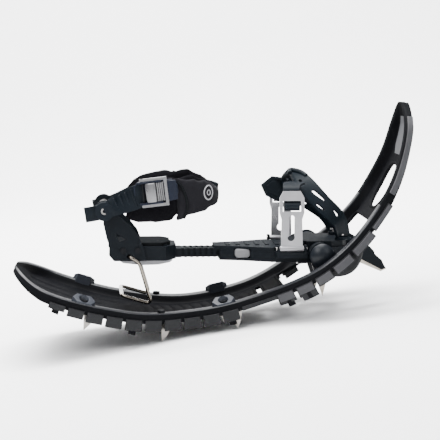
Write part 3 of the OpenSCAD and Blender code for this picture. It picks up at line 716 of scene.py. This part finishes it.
def slot_tool(u, v, long, wide, turn):
    """Rounded cutter through the harness at one place."""
    p, n = harness_at(u, v), harness_normal(u, v)
    t = (harness_at(u + 0.02, v) - harness_at(u - 0.02, v)).normalized()
    t = (t - n * t.dot(n)).normalized()
    w = n.cross(t)
    t, w = t * math.cos(turn) + w * math.sin(turn), w * math.cos(turn) - t * math.sin(turn)
    tool = Shape()
    outline = rounded_outline(-long / 2, long / 2, wide, wide / 2 - 0.01, corner=5)
    tool.loft([[p + t * a + w * b + n * h for a, b in outline] for h in (-9, 9)])
    return tool.build("cutter", [])


# Place along and across, length, width and turn of each slot of the near half
SLOTS = ((0.285, 0.36, 19, 5.5, 0.12), (0.165, 0.38, 11, 4.5, 0.0), (0.40, 0.62, 5, 4.5, 0.0),
         (0.235, 0.74, 13, 3.2, 0.05))
tools = []
for flip in (0, 1):
    for u, v, long, wide, turn in SLOTS:
        tools.append(slot_tool(1 - u if flip else u, v, long, wide, -turn if flip else turn))
cut(harness, tools)
dress(harness, "binding", ["toe_harness"], bevel=0.7)

# Ridge along the saddle and seats at the two rivets
saddle = Shape()
saddle.tube(smooth_path([(104, -13, 54.5), (98, -5, 58.5), (91, 0, 60.3), (86, 6, 60), (82, 18, 54)], 20),
            3.2, flat=0.7)
saddle.tube(smooth_path([(84, -12, 58), (84, -3, 60.5), (85, 6, 59.5)], 12), 3.0, flat=0.8)
for side in (-1, 1):
    saddle.disc((146, side * 28, -21.6), (0, 0, 1), 9, 3.2)
    saddle.box((139, 157), sorted((side * 20, side * 35)), (-21.6, -19.4))
saddle = saddle.build("harness_trim", [MATERIALS["harness_rubber"]])
dress(saddle, "binding", bevel=0.8)

# Pad on the far side of the toes, with its inset panel
pad = Shape()
outline = [(53.6, 39.4), (67.3, 50.3), (81, 48.6), (83.6, 33), (76.1, 18.1), (59.9, 25.7)]
centre = Vector((70, 35.5))
for y0, y1, grow, mat in ((35.2, 38, 1.0, 0), (34.4, 35.6, 0.90, 0), (33.6, 34.8, 0.62, 1)):
    pad.prism([tuple(centre + (Vector(p) - centre) * grow) for p in outline], y0, y1, mat)
pad = pad.build("toe_pad_panel", [MATERIALS["harness_rubber"], MATERIALS["strap_plastic"]])
dress(pad, "binding", ["toe_pad"], bevel=0.9)

# Release button: a rounded pad with upright ribs
BUTTON_X, BUTTON_Z = 25, -37.6
BUTTON_HALF_LONG, BUTTON_HALF_HIGH, BUTTON_CORNER = 9, 5.25, 3.4


def pad_ring(y, inset):
    """Rounded outline of the button at one depth."""
    r = BUTTON_CORNER
    w, h = BUTTON_HALF_LONG - inset - r, BUTTON_HALF_HIGH - inset - r
    ring = []
    for cx, cz, a0 in ((w, h, 0), (-w, h, 90), (-w, -h, 180), (w, -h, 270)):
        ring += [(BUTTON_X + cx + r * math.cos(a), y, BUTTON_Z + cz + r * math.sin(a))
                 for a in (math.radians(a0 + 15 * i) for i in range(7))]
    return ring


button = Shape()
button.loft([pad_ring(y, inset) for y, inset in ((-20.2, 0), (-28, 0), (-28.9, 0.35), (-29.3, 1.1))])
for i in range(-2, 3):
    x = BUTTON_X + 2.5 * i
    button.box((x - 0.5, x + 0.5), (-29.5, -29), (BUTTON_Z - 3, BUTTON_Z + 3))
button = button.build("button_pad", [MATERIALS["button_plastic"]])
dress(button, "button", ["release_button"], bevel=0.15)


# ---- Straps between the harness and the side links ----
def band(shape, path, across, width, thick, crown=0.0):
    """Flat strap along a path; across is the direction of its width."""
    rings, across = [], Vector(across)
    for i, p in enumerate(path):
        along = (path[min(i + 1, len(path) - 1)] - path[max(i - 1, 0)]).normalized()
        wide = (across - along * across.dot(along)).normalized()
        up = along.cross(wide)
        w = width(i / (len(path) - 1)) if callable(width) else width
        upper, lower = [], []
        for j in range(9):
            a = (j / 8 - 0.5) * w
            lift = crown * (1 - (2 * a / w) ** 2)
            upper.append(p + wide * a + up * (thick / 2 + lift))
            lower.append(p + wide * a - up * (thick / 2 - lift))
        rings.append(upper + lower[::-1])
    shape.loft(rings)


LINK_X = 81.5
LINK_STRAP_W = 18.6


def toe_strap(side, from_x, name, cad):
    """Strap from the harness down to a link and round the lower bar of its slot."""
    strap, x = Shape(), LINK_X
    path = smooth_path([(from_x, side * 30, 47.5), (x + 2, side * 40, 46.5), (x, side * 48.5, 42.5),
                        (x, side * 52.2, 36), (x, side * 52.5, 29), (x, side * 53.2, 24)], 26)
    band(strap, path, (1, 0, 0), lambda t: 22 - 3.2 * ease(t * 1.6), 2.6, crown=0.3)
    strap.disc((x - LINK_STRAP_W / 2, side * 55.6, 22), (1, 0, 0), 4.2, LINK_STRAP_W, sides=24)
    path = smooth_path([(x, side * 58.3, 19), (x, side * 56.4, 17.6), (x, side * 53.2, 18.8),
                        (x, side * 51.6, 24)], 14)
    band(strap, path, (1, 0, 0), LINK_STRAP_W, 1.8)
    strap = strap.build(name, [MATERIALS["strap_plastic"]])
    dress(strap, None, [cad], bevel=0.5)
    applied_strap = applied(strap)
    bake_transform(applied_strap)


toe_strap(-1, 91, "toe_strap_near", "toe_strap_right")
toe_strap(1, 83, "toe_strap_far", "toe_strap_left")


# ---- Ankle pad and sleeve: stuffed cloth, blown up from the CAD solids ----
CLOTH_FRAMES = 20
VOXEL, CREASE = 0.0042, 0.0007


def stuffed(name, node, slot, pressure, most):
    """Cloth skin over a CAD solid, blown up a little, with its movement capped."""
    mesh = NODES[node].data.copy()
    mesh.materials.clear()
    mesh.materials.append(MATERIALS[slot])
    obj = bpy.data.objects.new(name, mesh)
    scene.collection.objects.link(obj)
    weld = obj.modifiers.new("weld", "WELD")
    weld.merge_threshold = 1e-6
    remesh = obj.modifiers.new("skin", "REMESH")
    remesh.mode, remesh.voxel_size = "VOXEL", VOXEL
    ease_in = obj.modifiers.new("ease", "SMOOTH")
    ease_in.factor, ease_in.iterations = 0.5, 8
    applied(obj)
    rest = [v.co.copy() for v in obj.data.vertices]
    cloth = obj.modifiers.new("cloth", "CLOTH")
    cloth.settings.quality = 6
    cloth.settings.mass = 0.3
    cloth.settings.tension_stiffness = 12
    cloth.settings.compression_stiffness = 12
    cloth.settings.bending_stiffness = 0.6
    cloth.settings.use_pressure = True
    cloth.settings.uniform_pressure_force = pressure
    cloth.settings.effector_weights.gravity = 0
    cloth.point_cache.frame_start, cloth.point_cache.frame_end = 1, CLOTH_FRAMES
    for f in range(1, CLOTH_FRAMES + 1):
        scene.frame_set(f)
        bpy.context.view_layer.update()
    applied(obj)
    scene.frame_set(1)
    centre = sum(rest, Vector()) / len(rest)
    for v, old in zip(obj.data.vertices, rest):
        move = v.co - old
        if move.length > most:
            move = move.normalized() * most
        crease = noise.noise(Vector((v.co.x * 60, v.co.y * 60, v.co.z * 150))) * CREASE
        v.co = old + move + (old - centre).normalized() * crease
    fine = obj.modifiers.new("fine", "SUBSURF")
    fine.levels = fine.render_levels = 1
    applied(obj)
    obj.data.shade_smooth()
    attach(obj, "ankle_strap")
    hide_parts(node)
    return obj


pad_skin = stuffed("ankle_cushion", "ankle_pad", "pad_fabric", 4.0, 0.003)
for v in pad_skin.data.vertices:
    p = TURN.inverted() @ (v.co * 1000 - SHIFT)
    lift = 5.0 * ease((p.z - 26) / 18) * ease((-12 - p.x) / 30) * ease((p.x + 128) / 24)
    v.co = world(p + Vector((0, 0, lift)))
sleeve_skin = stuffed("ankle_sleeve", "pad_sleeve", "sleeve_fabric", 3.0, 0.0022)


def surface(obj):
    mesh = obj.data
    return BVHTree.FromPolygons([v.co for v in mesh.vertices], [p.vertices for p in mesh.polygons])


SLEEVE = surface(sleeve_skin)
ANKLE_X = -58


def on_sleeve(x, y, z, lift=0.6):
    """The point of the sleeve seen from the middle of the ankle through (x, y, z)."""
    origin = Vector((ANKLE_X, 0, z))
    way = (Vector((x, y, z)) - origin).normalized()
    start = world(origin + way * 200)
    hit = SLEEVE.ray_cast(start, (world(origin) - start).normalized())[0]
    return origin + way * (lift + (hit - world(origin)).length * 1000) if hit else Vector((x, y, z))


# Ring badge with no lettering
badge = Shape()
badge_at, badge_side = Vector((-15.2, -44.5, 38)), Vector((0.777, 0.629, 0))
for radius, thick in ((8.4, 0.75), (3.0, 0.6)):
    ring = []
    for i in range(40):
        a = 2 * math.pi * i / 40
        p = badge_at + badge_side * (radius * math.cos(a)) + Vector((0, 0, radius * math.sin(a)))
        ring.append(on_sleeve(p.x, p.y, p.z, 0.4))
    badge.tube(ring, thick, sides=8, loop=True)
badge = badge.build("ring_badge", [MATERIALS["badge_print"]])
dress(badge, "ankle_strap", ["badge"])

# Piping along the rear edge of the sleeve, on both sides
piping = Shape()
for side in (-1, 1):
    path = smooth_path([(-56, side * 60, 53.5), (-50, side * 61, 46), (-44.5, side * 61, 33),
                        (-43.5, side * 61, 21), (-47, side * 60, 9.5)], 24)
    piping.tube([on_sleeve(p.x, p.y, p.z, 0.5) for p in path], 1.7, sides=10)
piping = piping.build("sleeve_piping", [MATERIALS["tread_rubber"]])
dress(piping, "ankle_strap")

# Ladder strap round the front, over the upper edge of the sleeve, with its teeth
LADDER_STEPS, LADDER_FROM, LADDER_TURN = 60, 14, 74
TOOTH_HALF_LONG, TOOTH_HALF_WIDE, TOOTH_HIGH = 1.4, 7.5, 1.9
ladder = Shape()
path = []
for i in range(LADDER_STEPS + 1):
    t = math.radians(LADDER_FROM + LADDER_TURN * i / LADDER_STEPS)
    path.append(on_sleeve(ANKLE_X + 57 * math.cos(t), 61 * math.sin(t), 34 + 6 * math.sin(t), 0.2))
band(ladder, path, (0.1, 0, 1), 17, 3.0)
for i in range(2, LADDER_STEPS - 1, 3):
    out = (path[i] - Vector((ANKLE_X, 0, path[i].z))).normalized()
    step = (path[i + 1] - path[i - 1]).normalized()
    rings = []
    for z in (-TOOTH_HALF_WIDE, TOOTH_HALF_WIDE):
        foot = path[i] + out * 1.2 + Vector((0, 0, z))
        rings.append([foot - step * TOOTH_HALF_LONG, foot + step * TOOTH_HALF_LONG, foot + out * TOOTH_HIGH])
    ladder.loft(rings)
ladder = ladder.build("ladder_front", [MATERIALS["strap_plastic"]])
dress(ladder, "ankle_strap", bevel=0.35)

# Near strap: tail behind the rivet, ribbed lug up to the buckle
RIVET_X, RIVET_Z = -141, 17


def strap_eye(shape, side):
    """Ring of a strap round its heel rivet."""
    shape.disc((RIVET_X, side * 47.8, RIVET_Z), (0, side, 0), 11.4, 4.6, sides=40, hole=4.2)


near = Shape()
tail = smooth_path([(-164, -46, 12.5), (-150, -46.2, 15), (-136, -47.2, 20), (-122, -53, 27),
                    (-105, -58.8, 34), (-90, -60.2, 39)], 40)
band(near, tail, (0.12, 0, 1), lambda t: 18 + 7 * ease((t - 0.35) * 2), 3.2, crown=0.4)
lug = smooth_path([(RIVET_X, -49.6, 17.4), (-131, -50.6, 22), (-119, -57.2, 28.5), (-106, -61.8, 34),
                   (-93, -62.6, 38.6)], 40)
band(near, lug, (0.18, 0, 1), lambda t: 19 + 9 * ease(t * 1.5), 2.8, crown=0.8)
for i in (15, 20, 25, 30):
    step = (lug[i + 1] - lug[i - 1]).normalized()
    up = Vector((-step.z, 0, step.x))
    out = step.cross(up).normalized()
    if out.y > 0:
        out = -out
    near.tube([lug[i] + up * a + out * 1.9 for a in (-11, -5, 0, 5, 11)], 1.5, sides=8)
strap_eye(near, -1)
near = near.build("near_strap", [MATERIALS["strap_plastic"]])
dress(near, "ankle_strap", ["ladder_strap"], bevel=0.6)

far = Shape()
path = smooth_path([(-154, 45, 13), (RIVET_X, 45.2, 15.5), (-128, 49, 19), (-112, 56.8, 25),
                    (-96, 61, 31)], 34)
band(far, path, (0.16, 0, 1), lambda t: 17 + 3 * ease(t), 3.2, crown=0.5)
strap_eye(far, 1)
far = far.build("far_strap", [MATERIALS["strap_plastic"]])
dress(far, "ankle_strap", ["anchor_strap"], bevel=0.6)

# Buckle housing: plate with a raised rim and two cheeks
housing = Shape()
plate = [(-23, -9), (-19, -13.4), (14, -13.4), (24, -12), (27, -4), (27, 6), (22, 12.6), (12, 13.4),
         (-19, 13.4), (-23, 9)]
housing.prism(plate, -0.4, -3.0, place=on_buckle)
for z in (-13.6, 11.4):
    housing.prism([(-18, z), (9, z), (9, z + 2.2), (-18, z + 2.2)], -2, -11, place=on_buckle)
rim = [on_buckle((x, -3, z * 0.92)) for x, z in plate]
housing.tube(rim, 1.1, sides=8, loop=True)
housing = housing.build("buckle_housing", [MATERIALS["tab_plastic"]])
dress(housing, "ankle_strap", ["buckle_base"], bevel=0.7)

# Ratchet barrel: a rounded grip with a ribbed tail
barrel = Shape()
grip = [(3, -8), (-3, -5.8), (-7.5, -6.5), (-10, -8.5), (-9.6, -11.2), (-6.6, -13.6), (-2, -14.6),
        (2.2, -13.9), (3, -11)]
GRIP_X, GRIP_Y = -2.5, -9.5
barrel.loft([[on_buckle((GRIP_X + (x - GRIP_X) * f, GRIP_Y + (y - GRIP_Y) * f, z)) for x, y in grip]
             for z, f in ((-11.2, 0.86), (-9, 0.97), (0, 1), (9, 0.97), (11.2, 0.86))])
for i in range(4):
    x = 3.4 + 2.1 * i
    rib = [(x, -10.8), (x + 1.7, -10.8), (x + 1.7, 10.8), (x, 10.8)]
    barrel.prism(rib, -6, -11.4 + 0.9 * i, place=on_buckle)
barrel = barrel.build("ratchet_barrel", [MATERIALS["buckle_metal"]])
dress(barrel, "ratchet_pawl", ["buckle_pawl"], bevel=0.5, sharp=50)


# Heel lift wire with rounded bends
def filleted(corners, radius, steps=6):
    """Path through the corners, each one turned into a short curve."""
    pts = [Vector(c) for c in corners]
    out = [pts[0]]
    for a, b, c in zip(pts, pts[1:], pts[2:]):
        r = min(radius, (b - a).length * 0.45, (c - b).length * 0.45)
        p, q = b + (a - b).normalized() * r, b + (c - b).normalized() * r
        for i in range(steps + 1):
            f = i / steps
            out.append(p * (1 - f) ** 2 + b * (2 * f * (1 - f)) + q * f * f)
    return out + [pts[-1]]


leg = [(-112, 25, -38), (-112, 46.2, -38), (-100, 46.2, -44.6), (-86.5, 40, -92), (-90, 39, -94.8),
       (-121, 38, -85.5)]
WIRE_R, WIRE_BEND = 2.2, 7
wire = Shape()
wire.tube(filleted([(x, -y, z) for x, y, z in leg] + leg[::-1], WIRE_BEND), WIRE_R, sides=14)
wire = wire.build("lift_bail", [MATERIALS["wire_steel"]])
dress(wire, "bail", ["lift_wire"], sharp=60)

# ---- Floor, light and camera ----
FLOOR_FRONT, BEND_AT, BEND_R, WALL_HIGH, FLOOR_HALF = -3.0, 1.6, 1.4, 4.5, 4.0
profile = [(FLOOR_FRONT, 0.0), (BEND_AT, 0.0)]
for a in range(6, 91, 6):
    a = math.radians(a)
    profile.append((BEND_AT + BEND_R * math.sin(a), BEND_R - BEND_R * math.cos(a)))
profile.append((BEND_AT + BEND_R, WALL_HIGH))
mesh = bpy.data.meshes.new("floor")
mesh.from_pydata([(x, y, z) for y, z in profile for x in (-FLOOR_HALF, FLOOR_HALF)], [],
                 [(2 * i, 2 * i + 1, 2 * i + 3, 2 * i + 2) for i in range(len(profile) - 1)])
floor = bpy.data.objects.new("floor", mesh)
scene.collection.objects.link(floor)
floor.data.materials.append(FLOOR)
floor.data.shade_smooth()


def lamp(name, at, power, size, colour=(1, 1, 1), aim=(0, 0, 0.1)):
    data = bpy.data.lights.new(name, "AREA")
    data.energy, data.size, data.color = power, size, colour
    obj = bpy.data.objects.new(name, data)
    obj.location = at
    obj.rotation_euler = (Vector(aim) - Vector(at)).to_track_quat("-Z", "Y").to_euler()
    scene.collection.objects.link(obj)


lamp("key", (-0.9, -1.5, 1.9), 60, 1.2)
lamp("fill", (1.6, -1.5, 1.2), 22, 1.4, (0.96, 0.98, 1))
lamp("top", (0.1, 0.2, 2.4), 215, 2.2)
lamp("rim", (-0.4, 1.4, 1.3), 36, 1.0)
lamp("wall", (0, 0.9, 2.6), 260, 2.0, aim=(0, 3.0, 0.6))

backdrop = bpy.data.worlds.new("studio")
backdrop.use_nodes = True
backdrop.node_tree.nodes["Background"].inputs["Color"].default_value = (0.95, 0.96, 1.0, 1)
backdrop.node_tree.nodes["Background"].inputs["Strength"].default_value = 0.55
scene.world = backdrop

AZIMUTH, ELEVATION, DISTANCE = math.radians(-4.5), math.radians(6.5), 2000
FOCAL_PIXELS, PHOTO_PIXELS, SENSOR = 1639.3, 440, 36
flat = math.cos(ELEVATION)
back = Vector((math.sin(AZIMUTH) * flat, -math.cos(AZIMUTH) * flat, math.sin(ELEVATION)))
right = Vector((0, 0, 1)).cross(back).normalized()
up = back.cross(right)
lens = bpy.data.cameras.new("camera")
lens.sensor_width, lens.lens = SENSOR, SENSOR * FOCAL_PIXELS / PHOTO_PIXELS
lens.clip_start, lens.clip_end = 0.05, 50
camera = bpy.data.objects.new("camera", lens)
axes = TURN @ Matrix((right, up, back)).transposed()
camera.matrix_world = Matrix.Translation(world(back * DISTANCE)) @ axes.to_4x4()
scene.collection.objects.link(camera)
scene.camera = camera
